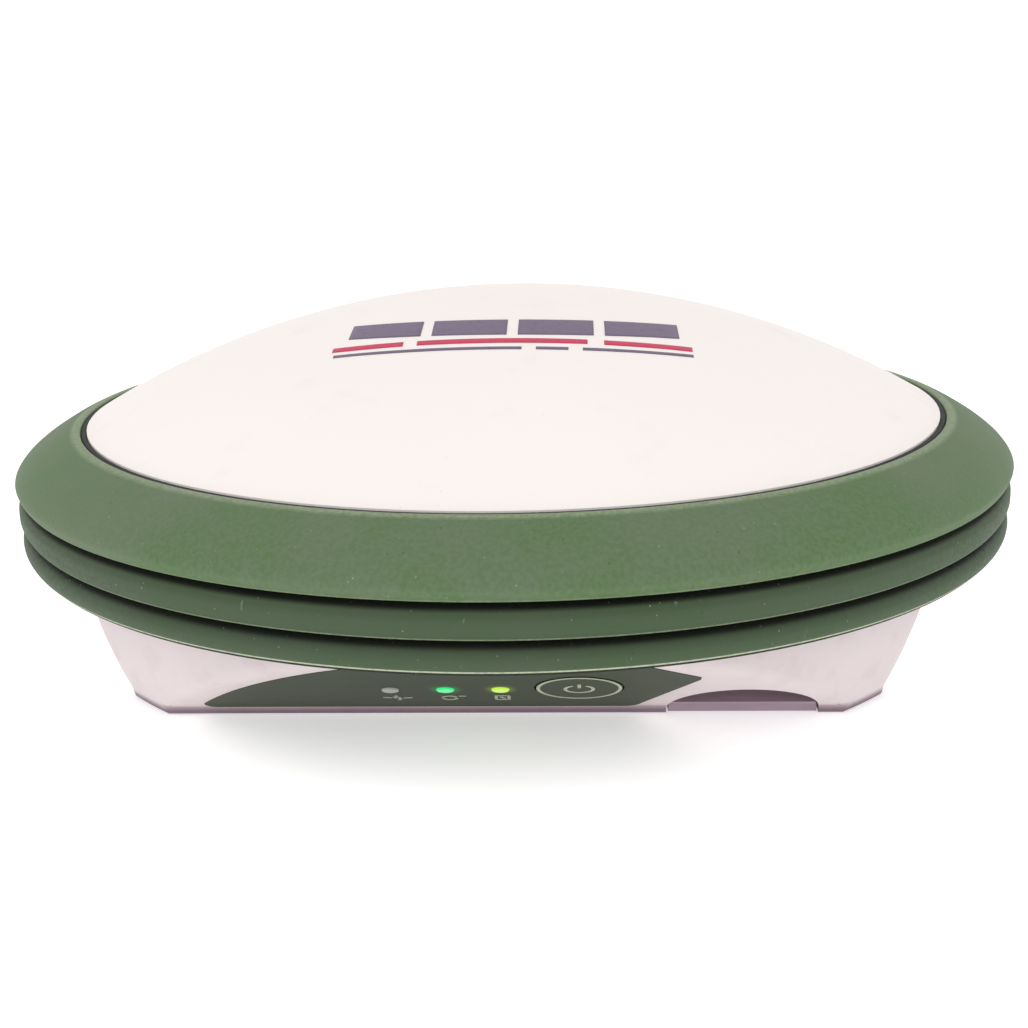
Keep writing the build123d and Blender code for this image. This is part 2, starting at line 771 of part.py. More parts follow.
with BuildPart() as antenna_standoffs:
    with BuildSketch(Plane.XY.offset(board_top)):
        with Locations(*posts):
            RegularPolygon(standoff_r, 6)
    extrude(amount=standoff_h)
    with BuildSketch(Plane.XY.offset(board_top)):
        with Locations(*posts):
            Circle(stud_r)
    extrude(amount=-(board_t + 3.8))
    with BuildSketch(Plane.XY.offset(ground_z)):
        with Locations(*posts):
            Circle(stud_r + fit_gap)
    extrude(amount=-7, mode=Mode.SUBTRACT)
save(antenna_standoffs, "antenna_standoffs")

with BuildPart() as coax_link:
    with BuildSketch(Plane.XY.offset(board_top)):
        with Locations(link_place):
            Rectangle(7, 7)
    extrude(amount=2.5)
    with BuildSketch(Plane.XY.offset(board_top + 2.5)):
        with Locations(link_place):
            Circle(2.2)
    extrude(amount=standoff_h - 2.5)
save(coax_link, "coax_link")

# ---- antenna -----------------------------------------------------------------------------------
feeds = PolarLocations(feed_circle_r, 4)
with BuildPart() as antenna_ground_plane:
    with BuildSketch(Plane.XY.offset(ground_z)):
        Circle(ground_plane_r)
        with Locations(*posts):
            Circle(stud_r + stud_gap, mode=Mode.SUBTRACT)
        with feeds:
            Circle(feed_pin_r + 0.6, mode=Mode.SUBTRACT)
    extrude(amount=ground_plane_t)
save(antenna_ground_plane, "antenna_ground_plane")

with BuildPart() as antenna_screws:
    with BuildSketch(Plane.XY.offset(patch_z)):
        with Locations(*posts):
            Circle(2.6)
    extrude(amount=1.8)
    with BuildSketch(Plane.XY.offset(patch_z)):
        with Locations(*posts):
            Circle(stud_r)
    extrude(amount=-(ground_plane_t + 6))
    with BuildSketch(Plane.XY.offset(patch_z + 1.8)):
        with Locations(*posts):
            RegularPolygon(1.2, 6)
    extrude(amount=-1.1, mode=Mode.SUBTRACT)
save(antenna_screws, "antenna_screws")


def disc(radius, low_z, thickness, label, feed_hole=0.0):
    """One layer of the antenna stack."""
    with BuildPart() as layer:
        with BuildSketch(Plane.XY.offset(low_z)):
            Circle(radius)
            if feed_hole:
                with PolarLocations(feed_circle_r, 4):
                    Circle(feed_hole, mode=Mode.SUBTRACT)
        extrude(amount=thickness)
    save(layer, label)


lower_foil_z = patch_z + lower_patch_t
upper_z = lower_foil_z + foil_t
pin_hole = feed_pin_r + 0.05
disc(lower_patch_r, patch_z, lower_patch_t, "lower_patch_substrate", pin_hole)
disc(lower_patch_r - foil_inset, lower_foil_z, foil_t, "lower_patch_foil", pin_hole)
disc(upper_patch_r, upper_z, upper_patch_t, "upper_patch_substrate", pin_hole)
disc(upper_patch_r - foil_inset, upper_z + upper_patch_t, foil_t, "upper_patch_foil", pin_hole)

with BuildPart() as feed_pins:
    with BuildSketch(Plane.XY.offset(ground_z - 1.2)):
        with PolarLocations(feed_circle_r, 4):
            Circle(feed_pin_r)
    extrude(amount=upper_z + upper_patch_t + foil_t + 0.3 - ground_z + 1.2)
save(feed_pins, "feed_pins")

can((0, 0), 42, 42, 5.0, "amplifier_shield", ground_z - 6.4)

# ---- rear port, cap and vent -------------------------------------------------------------------
with BuildPart() as comm_connector:
    with BuildSketch(rear_face):
        with Locations((port_x, port_y)):
            Circle(port_flange_r)
    extrude(amount=port_flange_t)
    with BuildSketch(rear_face):
        with Locations((port_x, port_y)):
            Circle(port_shell_r)
    extrude(amount=-port_depth)
    with BuildSketch(rear_face.offset(port_flange_t)):
        with Locations((port_x, port_y)):
            Circle(port_bore_r)
    extrude(amount=-(port_flange_t + 4), mode=Mode.SUBTRACT)
    # contact pins in a ring, with one in the middle
    with BuildSketch(rear_face.offset(-4)):
        with Locations((port_x, port_y)):
            Circle(0.4)
            with PolarLocations(2.4, 7):
                Circle(0.4)
    extrude(amount=1.2)
save(comm_connector, "comm_connector")

with BuildPart() as port_cap:
    with BuildSketch(rear_face.offset(port_flange_t + 0.1)):
        with Locations((port_x, port_y)):
            Circle(cap_r)
    extrude(amount=cap_t)
    fillet(port_cap.faces().sort_by(Axis.Z)[0].edges(), 0.8)
    with BuildSketch(rear_face.offset(port_flange_t + 0.1)):
        with Locations((port_x, port_y)):
            Circle(cap_plug_r)
    extrude(amount=-cap_plug_l)
    with BuildSketch(rear_face.offset(port_flange_t + 0.1)):
        with Locations((port_x, port_y + cap_r)):
            Rectangle(4.0, 5.0)
    extrude(amount=1.4)
save(port_cap, "port_cap")

with BuildPart() as vent_plug:
    with BuildSketch(rear_face):
        with Locations((vent_x, vent_y)):
            Circle(vent_flange_r)
    extrude(amount=1.0)
    fillet(vent_plug.faces().sort_by(Axis.Z)[0].edges(), 0.4)
    with BuildSketch(rear_face):
        with Locations((vent_x, vent_y)):
            Circle(vent_r)
    extrude(amount=-(wall + 0.6))
    with BuildSketch(rear_face.offset(1.0)):
        with Locations((vent_x, vent_y)):
            with PolarLocations(1.7, 6):
                Circle(0.45)
    extrude(amount=-1.6, mode=Mode.SUBTRACT)
save(vent_plug, "vent_plug")
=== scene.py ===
# %% [markdown]
# # A survey receiver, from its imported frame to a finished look
# The receiver is a white radome in a ribbed green rubber bumper, over a light grey lower housing
# with a dark control panel on its slanted front. The solid model gives every piece its size and its
# place, so this lesson adds what a solid model lacks: finishes, prints, threads and rounded lips.
# The frame is loaded first because each piece made later rides on one of its bodies.

# %% Load the frame
import json
from math import cos, pi, radians, sin, sqrt

import bmesh
import bpy
from mathutils import Matrix, Vector


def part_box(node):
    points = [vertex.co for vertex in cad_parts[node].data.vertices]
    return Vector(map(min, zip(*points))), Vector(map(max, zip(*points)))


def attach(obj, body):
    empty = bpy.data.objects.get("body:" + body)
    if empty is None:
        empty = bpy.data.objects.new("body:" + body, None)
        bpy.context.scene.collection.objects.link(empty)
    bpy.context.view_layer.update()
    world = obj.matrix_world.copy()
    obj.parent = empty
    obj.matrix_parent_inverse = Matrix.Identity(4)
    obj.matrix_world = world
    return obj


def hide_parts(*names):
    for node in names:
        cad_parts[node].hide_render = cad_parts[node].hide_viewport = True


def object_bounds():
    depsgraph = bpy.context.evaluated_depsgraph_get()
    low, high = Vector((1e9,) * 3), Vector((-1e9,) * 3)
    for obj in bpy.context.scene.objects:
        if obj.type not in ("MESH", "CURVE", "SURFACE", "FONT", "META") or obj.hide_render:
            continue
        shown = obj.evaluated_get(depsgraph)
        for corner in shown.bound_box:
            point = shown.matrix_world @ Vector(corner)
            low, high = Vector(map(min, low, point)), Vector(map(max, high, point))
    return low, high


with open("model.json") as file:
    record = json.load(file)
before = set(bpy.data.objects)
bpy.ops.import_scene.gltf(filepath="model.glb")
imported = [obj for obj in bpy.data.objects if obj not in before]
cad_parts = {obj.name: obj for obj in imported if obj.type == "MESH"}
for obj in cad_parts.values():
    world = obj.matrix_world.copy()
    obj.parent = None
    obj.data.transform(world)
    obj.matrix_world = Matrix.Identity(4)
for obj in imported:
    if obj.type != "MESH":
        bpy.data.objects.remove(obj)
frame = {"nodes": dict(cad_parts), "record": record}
nodes = frame["nodes"]
cad_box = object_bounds()
mm = 0.001
print("box", [round(v, 4) for corner in cad_box for v in corner])

# %% [markdown]
# ## Sizes shared with the solid model
# A print on the slanted front has to lie in that slope's plane, and a print on the dome has to follow
# its sphere. Both surfaces are simple, so two small functions map flat drawing coordinates onto them.
# Reading the places off the mesh would also work, but a formula stays exact at any detail.

# %% Slope, dome and underside as drawing surfaces
base_half = 62.0
strip_h = 1.3
face_slope = radians(36.2)
seam_r = 79.9
seam_z = 39.0
top_z = cad_box[1].z / mm
dome_rise = top_z - seam_z
dome_r = (seam_r**2 + dome_rise**2) / (2 * dome_rise)


def on_slope(x, y, out):
    """A point y up the slanted front and out from its surface."""
    return Vector((
        x,
        -base_half - y * cos(face_slope) - out * sin(face_slope),
        strip_h + y * sin(face_slope) - out * cos(face_slope),
    )) * mm


def on_dome(x, y, out):
    """A point of the dome above plan position x, y."""
    across = Vector((x, y, sqrt(dome_r**2 - x**2 - y**2)))
    return (across * (1 + out / dome_r) + Vector((0, 0, top_z - dome_r))) * mm


def on_underside(level):
    """Returns a surface that faces down at a level, for the label."""
    def place(x, y, out):
        return Vector((x, y, level - out)) * mm
    return place


print("dome radius", round(dome_r, 2), "mm")

# %% [markdown]
# ## Writing shader maths as plain expressions
# A finish needs masks such as "near this lip" or "inside this stain", which are sums and products.
# Math nodes can be added one at a time, but that hides the formula. A small class wraps a socket so
# that Python's own operators add the Math nodes, and the formula stays readable.

# %% Wire and Finish
class Wire:
    """One output socket. An operator on it adds a Math node to the same finish."""

    def __init__(self, finish, socket):
        self.finish = finish
        self.socket = socket

    def __add__(self, other):
        return self.finish.math("ADD", self, other)

    def __sub__(self, other):
        return self.finish.math("SUBTRACT", self, other)

    def __rsub__(self, other):
        return self.finish.math("SUBTRACT", other, self)

    def __mul__(self, other):
        return self.finish.math("MULTIPLY", self, other)

    def __truediv__(self, other):
        return self.finish.math("DIVIDE", self, other)

    def __pow__(self, other):
        return self.finish.math("POWER", self, other)

    __radd__ = __add__
    __rmul__ = __mul__


class Finish:
    """A material in the making, with one method that adds any node."""

    def __init__(self, name):
        self.material = bpy.data.materials.new(name)
        self.material.use_nodes = True
        self.tree = self.material.node_tree
        self.tree.nodes.clear()
        self.place = self.make("ShaderNodeTexCoord", out="Object")

    def make(self, kind, settings=None, sockets=None, out=0):
        """Adds a node: its settings first, then the values or wires of its sockets."""
        node = self.tree.nodes.new(kind)
        for name, value in (settings or {}).items():
            if name == "stops":
                for spot, (at, shade) in zip(node.color_ramp.elements, value):
                    spot.position = at
                    spot.color = (shade, shade, shade, 1)
            else:
                setattr(node, name, value)
        for name, value in (sockets or {}).items():
            if isinstance(value, Wire):
                self.tree.links.new(value.socket, node.inputs[name])
            else:
                node.inputs[name].default_value = value
        return Wire(self, node.outputs[out])

    def math(self, operation, *values, clamp=False):
        settings = {"operation": operation, "use_clamp": clamp}
        return self.make("ShaderNodeMath", settings, dict(enumerate(values)))

    def tint(self, mask, low, high):
        """Mixes two colours by a mask."""
        ends = {0: mask, 6: low, 7: high}
        return self.make("ShaderNodeMix", {"data_type": "RGBA"}, ends, out=2)

    def noise(self, size, detail=3.0, stretch=None):
        """Noise whose features are about size across, in metres."""
        place = self.place
        if stretch:
            place = self.make("ShaderNodeVectorMath", {"operation": "MULTIPLY"}, {0: place, 1: stretch})
        return self.make("ShaderNodeTexNoise", None, {"Vector": place, "Scale": 1 / size, "Detail": detail})

    def cells(self, size, feature="F1"):
        sockets = {"Vector": self.place, "Scale": 1 / size}
        return self.make("ShaderNodeTexVoronoi", {"feature": feature}, sockets, out="Distance")

    def ramp(self, wire, low, high):
        """0 below low, 1 above high, and smooth between them."""
        settings = {"interpolation_type": "SMOOTHSTEP"}
        ends = {"Value": wire, "From Min": low, "From Max": high}
        return self.make("ShaderNodeMapRange", settings, ends)

    def axes(self):
        """The place's three coordinates."""
        split = self.make("ShaderNodeSeparateXYZ", None, {0: self.place})
        return [Wire(self, socket) for socket in split.socket.node.outputs]

    def bump(self, height, depth, strength=1.0):
        sockets = {"Height": height, "Distance": depth, "Strength": strength}
        return self.make("ShaderNodeBump", None, sockets, out="Normal")

    def done(self, **sockets):
        """Ends the finish with a Principled shader; an underscore in a name is a space."""
        named = {name.replace("_", " "): value for name, value in sockets.items()}
        shader = self.make("ShaderNodeBsdfPrincipled", None, named)
        self.make_output(shader)
        return self.material

    def make_output(self, shader):
        output = self.tree.nodes.new("ShaderNodeOutputMaterial")
        self.tree.links.new(shader.socket, output.inputs["Surface"])


def srgb(red, green, blue):
    """A colour given as 0 to 255 display values, as the linear colour that a socket takes."""
    def linear(value):
        value /= 255
        return value / 12.92 if value <= 0.04045 else ((value + 0.055) / 1.055) ** 2.4
    return (linear(red), linear(green), linear(blue), 1.0)


def shaded(colour, factor):
    return tuple(channel * factor for channel in colour[:3]) + (1.0,)


print("grey 128 is", round(srgb(128, 128, 128)[0], 3), "linear")

# %% [markdown]
# ## The radome's plastic
# The dome is moulded in off-white plastic with a fine pebbled texture, so its highlight is broad and
# soft. A field unit also carries faint smudges. Noise at three scales gives the pebble, the slow
# drift of the colour and the smudges. A displaced mesh would be far heavier for the same look.

# %% Radome finish
def radome_plastic():
    finish = Finish("radome_pebbled_plastic")
    drift = finish.noise(60 * mm, 2.0)
    smudge = finish.ramp(finish.noise(9 * mm, 5.0), 0.56, 0.78)
    pebble = finish.noise(0.55 * mm, 1.0)
    speck = 1 - finish.ramp(finish.cells(3.4 * mm), 0.025, 0.045)
    speck = speck * finish.ramp(finish.noise(12 * mm, 1.0), 0.52, 0.6)
    colour = finish.tint(drift, srgb(246, 238, 234), srgb(250, 243, 238))
    colour = finish.tint(smudge * 0.16, colour, srgb(226, 214, 208))
    colour = finish.tint(speck * 0.35, colour, srgb(170, 158, 150))
    roughness = 0.52 + 0.1 * smudge + 0.06 * pebble
    return finish.done(
        Base_Color=colour,
        Roughness=roughness,
        Normal=finish.bump(pebble, 0.05 * mm, 0.5),
        Specular_IOR_Level=0.4,
        Coat_Weight=0.0,
    )


radome_white = radome_plastic()
print("finish", radome_white.name)

# %% [markdown]
# ## The bumper's rubber
# The bumper is matt green rubber with dust and fine scuffs all over it. Each lip carries a pale line
# that is partly wear and partly painted highlight, the groove under each lip gets painted shade, and the
# lower ribs are painted darker as shade. Every lip is at one height all the way round, so height alone
# gives these masks, and no image map is needed.

# %% Bumper finish
rib_lips = (29.45, 23.75, 18.85)
# How bright each lip's pale line is. The line is partly wear and partly painted highlight, brightest on the
# bottom lip.
lip_highlight_and_wear = (0.16, 0.28, 1.0)


def bumper_rubber():
    finish = Finish("bumper_green_rubber")
    x, y, z = finish.axes()
    patchy = finish.ramp(finish.noise(20 * mm, 5.0), 0.3, 0.7)
    mottle = finish.ramp(finish.noise(0.75 * mm, 6.0), 0.32, 0.68)
    grain = finish.noise(0.3 * mm, 2.0)
    worn = 0.0
    groove_shade = 0.0
    # For each lip: a pale line on the lip, partly wear and partly painted highlight, and painted shade in
    # the groove under it.
    for level, amount in zip(rib_lips, lip_highlight_and_wear):
        away = finish.math("ABSOLUTE", z - (level + 0.13) * mm)
        worn = amount * (1 - finish.ramp(away, 0.1 * mm, 0.3 * mm)) + worn
        # Painted shade: dark right under the lip and fading down the rib below it.
        below = level * mm - z
        under = finish.ramp(below, 0.0, 0.1 * mm)
        groove_shade = under * (1 - finish.ramp(below, 0.85 * mm, 1.7 * mm)) + groove_shade
        groove_shade = 0.3 * under * (1 - finish.ramp(below, 1.2 * mm, 3.6 * mm)) + groove_shade
    # The rim's pale line is also partly wear and partly painted highlight.
    rim = finish.ramp(z, 38.5 * mm, 38.9 * mm)
    worn = finish.math("MAXIMUM", worn, rim * 0.3) * (0.7 + 0.6 * mottle)
    # Painted shade: the lower ribs are darkened because in the real scene less light reaches them from
    # below.
    lower_rib_shade = 1 - finish.ramp(z, 27 * mm, 29.6 * mm)
    dust = (1 - finish.ramp(finish.cells(1.8 * mm), 0.035, 0.075)) * mottle
    pits = 1 - finish.ramp(finish.cells(3.1 * mm), 0.035, 0.07)
    scuff = finish.ramp(finish.noise(1.2 * mm, 3.0, stretch=(1.0, 1.0, 0.2)), 0.7, 0.78)
    colour = finish.tint(patchy, srgb(77, 109, 58), srgb(91, 111, 78))
    colour = finish.tint(mottle * 0.45, colour, srgb(112, 124, 104))
    # The painted shade on the lower ribs is laid on here.
    colour = finish.tint(lower_rib_shade * 0.75, colour, srgb(52, 70, 48))
    # Painted shade, near black, in the grooves under the lips.
    colour = finish.tint(finish.math("MULTIPLY", groove_shade, 0.86, clamp=True), colour, srgb(20, 24, 15))
    # The pale lip and rim lines, partly wear and partly painted highlight.
    colour = finish.tint(finish.math("MULTIPLY", worn, 1.0, clamp=True), colour, srgb(182, 192, 162))
    colour = finish.tint(scuff * 0.3, colour, srgb(150, 160, 136))
    colour = finish.tint(pits * 0.5, colour, srgb(48, 54, 40))
    colour = finish.tint(dust * 0.75, colour, srgb(172, 180, 156))
    return finish.done(
        Base_Color=colour,
        Roughness=0.58 + 0.16 * mottle,
        Normal=finish.bump(grain + 0.6 * mottle, 0.05 * mm, 0.4),
        Specular_IOR_Level=0.42,
    )


bumper_green = bumper_rubber()
print("finish", bumper_green.name, "with lips at", rib_lips)

# %% [markdown]
# ## Moulded housings, doors and small plastics
# The lower housing, the door, the latch, the chips and the battery are all moulded plastics that
# differ in colour, grain and grime. One maker with named amounts keeps them a family, and each still
# gets its own values. The housing's foot gets a painted shadow, and the door is painted darker as shade.

# %% Moulded plastic
def moulded(name, low, high, grime_and_shade, grain_size=0.28, grain_depth=0.03, gloss=0.5, dirt=0.25, foot_shade=0.0):
    """Textured plastic: slow drift, spark-eroded grain, grime smears and specks, and a painted shadow low
    down at the foot.
    """
    finish = Finish(name)
    x, y, z = finish.axes()
    drift = finish.noise(22 * mm, 3.0)
    grain = finish.noise(grain_size * mm, 2.0)
    smear = finish.ramp(finish.noise(4.5 * mm, 5.0), 0.5, 0.72)
    speck = 1 - finish.ramp(finish.cells(2.6 * mm), 0.03, 0.06)
    colour = finish.tint(drift, low, high)
    colour = finish.tint(smear * dirt, colour, grime_and_shade)
    colour = finish.tint(speck * dirt, colour, grime_and_shade)
    # Painted shadow: the plastic is darkened near the floor, as contact shade at its foot, in the grime
    # colour.
    if foot_shade:
        foot_shade_mask = 1 - finish.ramp(z, 0.5 * mm, 2.2 * mm)
        colour = finish.tint(foot_shade_mask * foot_shade, colour, grime_and_shade)
    return finish.done(
        Base_Color=colour,
        Roughness=gloss + 0.14 * smear + 0.05 * grain,
        Normal=finish.bump(grain, grain_depth * mm, 0.6),
        Specular_IOR_Level=0.45,
    )


# The housing's large foot value paints a strong shadow along its foot.
housing_grey = moulded(
    "housing_light_plastic", srgb(210, 198, 200), srgb(221, 209, 210), srgb(96, 66, 86),
    foot_shade=0.85, dirt=0.05,
)
# Painted shade: the door is the housing's light plastic, coloured darker and plummer to stand for the shade
# in its recess.
door_grey = moulded(
    "door_plastic_painted_shade", srgb(150, 130, 144), srgb(164, 146, 158), srgb(104, 84, 98), dirt=0.12
)
latch_dark = moulded("latch_dark_plastic", srgb(52, 52, 54), srgb(64, 63, 64), srgb(96, 92, 90), gloss=0.42)
battery_black = moulded("battery_black_plastic", srgb(38, 38, 40), srgb(48, 48, 50), srgb(80, 78, 76))
chip_black = moulded("chip_moulding", srgb(34, 34, 36), srgb(44, 44, 46), srgb(70, 70, 70), gloss=0.6)
led_white = moulded("led_package", srgb(228, 228, 206), srgb(240, 240, 222), srgb(190, 186, 160), gloss=0.3)
substrate_cream = moulded(
    "antenna_laminate", srgb(206, 198, 172), srgb(216, 209, 186), srgb(176, 166, 138), grain_size=0.6
)
seal_black = moulded("seal_rubber", srgb(24, 24, 25), srgb(33, 33, 34), srgb(64, 62, 60), gloss=0.68)
cap_black = moulded(
    "cap_rubber", srgb(30, 30, 31), srgb(42, 41, 42), srgb(84, 80, 76), gloss=0.66, dirt=0.35
)
print("moulded finishes", len(bpy.data.materials))

# %% [markdown]
# ## The control panel and its lamps
# The panel is a printed overlay in dark olive with a satin skin that picks up fine scratches. Its
# lamps are clear plugs: the left one is off and grey, the others glow green and yellow-green. The
# glow also spills a little onto the overlay, so two soft round masks around the lit plugs light it.

# %% Panel, button and lamps
lamp_xs = (-16.8, -8.3, 0.2)
lamp_y = 11.8
lamp_green = srgb(0, 236, 128)
lamp_lime = srgb(196, 240, 52)


def overlay(name, low, high, spills=()):
    """Satin overlay with fine scratches, lit softly around each of the lamps in spills."""
    finish = Finish(name)
    drift = finish.noise(30 * mm, 3.0)
    grain = finish.noise(0.22 * mm, 2.0)
    scratch = finish.ramp(finish.noise(1.1 * mm, 4.0, stretch=(0.12, 1.0, 1.0)), 0.64, 0.7)
    speck = 1 - finish.ramp(finish.cells(1.7 * mm), 0.035, 0.07)
    colour = finish.tint(drift, low, high)
    colour = finish.tint(scratch * 0.22, colour, srgb(120, 126, 110))
    colour = finish.tint(speck * 0.3, colour, srgb(140, 144, 128))
    glow = (0.0, 0.0, 0.0, 1.0)
    for x, shade in spills:
        centre = on_slope(x, lamp_y, 0)
        ends = {0: finish.place, 1: centre}
        away = finish.make("ShaderNodeVectorMath", {"operation": "DISTANCE"}, ends, out=1)
        near = (1 - finish.ramp(away, 1.2 * mm, 3.4 * mm)) ** 2.0
        glow = finish.tint(near, glow, shaded(shade, 0.16))
    return finish.done(
        Base_Color=colour,
        Roughness=0.5 + 0.1 * drift + 0.12 * scratch,
        Normal=finish.bump(grain, 0.012 * mm, 0.4),
        Emission_Color=glow,
        Emission_Strength=1.0 if spills else 0.0,
        Specular_IOR_Level=0.35,
    )


def lamp(name, colour, glow=None):
    """A clear plug over a lamp, with moulding flecks; glow is its colour when it is lit."""
    finish = Finish(name)
    fleck = finish.noise(0.5 * mm, 2.0)
    body = finish.tint(fleck, shaded(colour, 0.9), colour)
    lit = finish.tint(fleck * 0.4, glow, shaded(glow, 0.7)) if glow else (0.0, 0.0, 0.0, 1.0)
    return finish.done(
        Base_Color=body,
        Roughness=0.16 + 0.1 * fleck,
        Emission_Color=lit,
        Emission_Strength=0.85 if glow else 0.0,
        Coat_Weight=0.4,
        Coat_Roughness=0.08,
    )


panel_olive = overlay(
    "panel_olive_overlay", srgb(36, 47, 24), srgb(46, 56, 33),
    ((lamp_xs[1], lamp_green), (lamp_xs[2], lamp_lime)),
)
button_olive = overlay("button_olive_skin", srgb(38, 49, 26), srgb(48, 58, 35))
lens_off = lamp("lamp_plug_off", srgb(150, 152, 142))
lens_green = lamp("lamp_plug_green", srgb(20, 120, 70), lamp_green)
lens_lime = lamp("lamp_plug_lime", srgb(96, 120, 36), lamp_lime)
print("lamps at", lamp_xs)

# %% [markdown]
# ## Metals, boards and inks
# Turned brass, tinned cans, bead-blasted aluminium and etched copper differ in colour and in the
# direction of their marks. Stretched noise gives tool marks, and even noise gives a blasted skin. The
# boards have solder mask over a faint grid of tracks. Inks are plain colours with worn spots.

# %% Metals, boards and inks
def metal(name, low, high, roughness=0.3, stretch=(1.0, 1.0, 12.0), mark=0.5, tarnish=0.3):
    """Metal with directional marks and patches of tarnish."""
    finish = Finish(name)
    marks = finish.noise(mark * mm, 3.0, stretch=stretch)
    dull = finish.ramp(finish.noise(5 * mm, 4.0), 0.48, 0.7)
    colour = finish.tint(marks, low, high)
    colour = finish.tint(dull * tarnish, colour, shaded(low, 0.55))
    return finish.done(
        Base_Color=colour,
        Metallic=1.0,
        Roughness=roughness + 0.14 * dull + 0.08 * marks,
        Normal=finish.bump(marks, 0.01 * mm, 0.5),
    )


def board(name):
    """Green solder mask over thin tracks, with tinned via dots."""
    finish = Finish(name)
    x, y, z = finish.axes()
    wander = finish.noise(7 * mm, 2.0)
    tracks = finish.math("PINGPONG", x + 3 * mm * wander, 0.6 * mm) / (0.6 * mm)
    track = finish.ramp(tracks, 0.62, 0.7) * finish.ramp(wander, 0.42, 0.5)
    via = 1 - finish.ramp(finish.cells(2.3 * mm), 0.1, 0.14)
    colour = finish.tint(track, srgb(20, 92, 56), srgb(36, 122, 74))
    colour = finish.tint(via * 0.8, colour, srgb(190, 190, 178))
    return finish.done(
        Base_Color=colour, Roughness=0.34 + 0.12 * via, Normal=finish.bump(track, 0.03 * mm, 0.5)
    )


def ink(name, colour, wear=0.35):
    """Printed ink, thin in places so that what is below shows as a paler or darker tone."""
    finish = Finish(name)
    thin = finish.ramp(finish.noise(0.9 * mm, 5.0), 0.5, 0.75)
    worn = finish.tint(thin * wear, colour, shaded(colour, 0.62))
    return finish.done(Base_Color=worn, Roughness=0.5 + 0.1 * thin, Specular_IOR_Level=0.4)


steel = metal("screw_steel", srgb(180, 180, 176), srgb(206, 206, 203))
brass = metal("turned_brass", srgb(196, 158, 86), srgb(226, 190, 112))
copper = metal("etched_copper", srgb(196, 122, 86), srgb(222, 150, 108), stretch=(6.0, 1.0, 1.0))
shield_tin = metal(
    "tinned_can", srgb(196, 196, 192), srgb(214, 214, 210), 0.26, (5.0, 1.0, 1.0), tarnish=0.2
)
aluminium = metal("blasted_aluminium", srgb(196, 198, 200), srgb(214, 216, 218), 0.46, (1.0, 1.0, 1.0), 0.3)
label_silver = metal("label_foil", srgb(178, 178, 180), srgb(196, 196, 198), 0.4, (1.0, 9.0, 1.0))
board_green = board("board_solder_mask")
ink_pale = ink("panel_pale_ink", srgb(176, 182, 158), 0.2)
ink_plum = ink("dome_plum_ink", srgb(112, 98, 122), 0.2)
ink_red = ink("dome_red_ink", srgb(205, 48, 90), 0.2)
ink_dark = ink("label_dark_ink", srgb(52, 52, 56), 0.3)
print("finishes", len(bpy.data.materials))

# %% [markdown]
# ## Dressing the solid model's own pieces
# Most pieces of the solid model have the right shape and stay as they are. Each gets its finish in
# its material slot. A table of slot to finish follows the record, so a piece can't be forgotten, and
# only two of the three lamp plugs need a choice of their own.

# %% Finishes onto the nodes
slot_finish = {
    "radome_white": radome_white, "bumper_green": bumper_green, "housing_grey": housing_grey,
    "panel_olive": panel_olive, "button_olive": button_olive, "lens_clear": lens_off,
    "seal_black": seal_black, "door_grey": door_grey, "latch_dark": latch_dark, "steel": steel,
    "battery_black": battery_black, "brass": brass, "board_green": board_green,
    "shield_tin": shield_tin, "chip_black": chip_black, "led_white": led_white,
    "aluminium": aluminium, "substrate_cream": substrate_cream, "copper": copper,
    "label_silver": label_silver, "cap_black": cap_black,
}
own_finish = {"indicator_lens_middle": lens_green, "indicator_lens_right": lens_lime}
for part in frame["record"]["subparts"]:
    node = nodes[part["node"]]
    finish = own_finish.get(part["node"], slot_finish[part["material_slot"]])
    node.data.materials.clear()
    node.data.materials.append(finish)

# %% [markdown]
# ## Joining a new piece to the receiver
# Every new piece needs a finish and a body to ride on. One function does the two, and turns loose
# vertices and faces into a clean mesh whose faces point outwards.

# %% Mesh helpers
def piece(name, points, faces, finish, body, smooth=True):
    """Makes a mesh piece in place, with outward faces, and joins it to its body."""
    mesh = bpy.data.meshes.new(name)
    mesh.from_pydata([tuple(p) for p in points], [], faces)
    shape = bmesh.new()
    shape.from_mesh(mesh)
    bmesh.ops.remove_doubles(shape, verts=shape.verts, dist=0.000001)
    bmesh.ops.recalc_face_normals(shape, faces=shape.faces)
    shape.to_mesh(mesh)
    shape.free()
    mesh.shade_smooth() if smooth else mesh.shade_flat()
    mesh.materials.append(finish)
    made = bpy.data.objects.new(name, mesh)
    bpy.context.scene.collection.objects.link(made)
    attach(made, body)
    return made


def from_nodes(name, tree, inputs, finish, body, base=None):
    """Runs a geometry tree on a carrier object and keeps its result as a plain mesh piece."""
    carrier = bpy.data.objects.new(name, base or bpy.data.meshes.new(name))
    bpy.context.scene.collection.objects.link(carrier)
    modifier = carrier.modifiers.new("build", "NODES")
    modifier.node_group = tree
    for item in tree.interface.items_tree:
        if item.in_out == "INPUT" and item.name in inputs:
            modifier[item.identifier] = inputs[item.name]
    graph = bpy.context.evaluated_depsgraph_get()
    mesh = bpy.data.meshes.new_from_object(carrier.evaluated_get(graph))
    carrier.modifiers.clear()
    shape = bmesh.new()
    shape.from_mesh(mesh)
    bmesh.ops.remove_doubles(shape, verts=shape.verts, dist=0.000001)
    bmesh.ops.recalc_face_normals(shape, faces=shape.faces)
    shape.to_mesh(mesh)
    shape.free()
    mesh.shade_smooth()
    mesh.materials.clear()
    mesh.materials.append(finish)
    carrier.data = mesh
    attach(carrier, body)
    return carrier


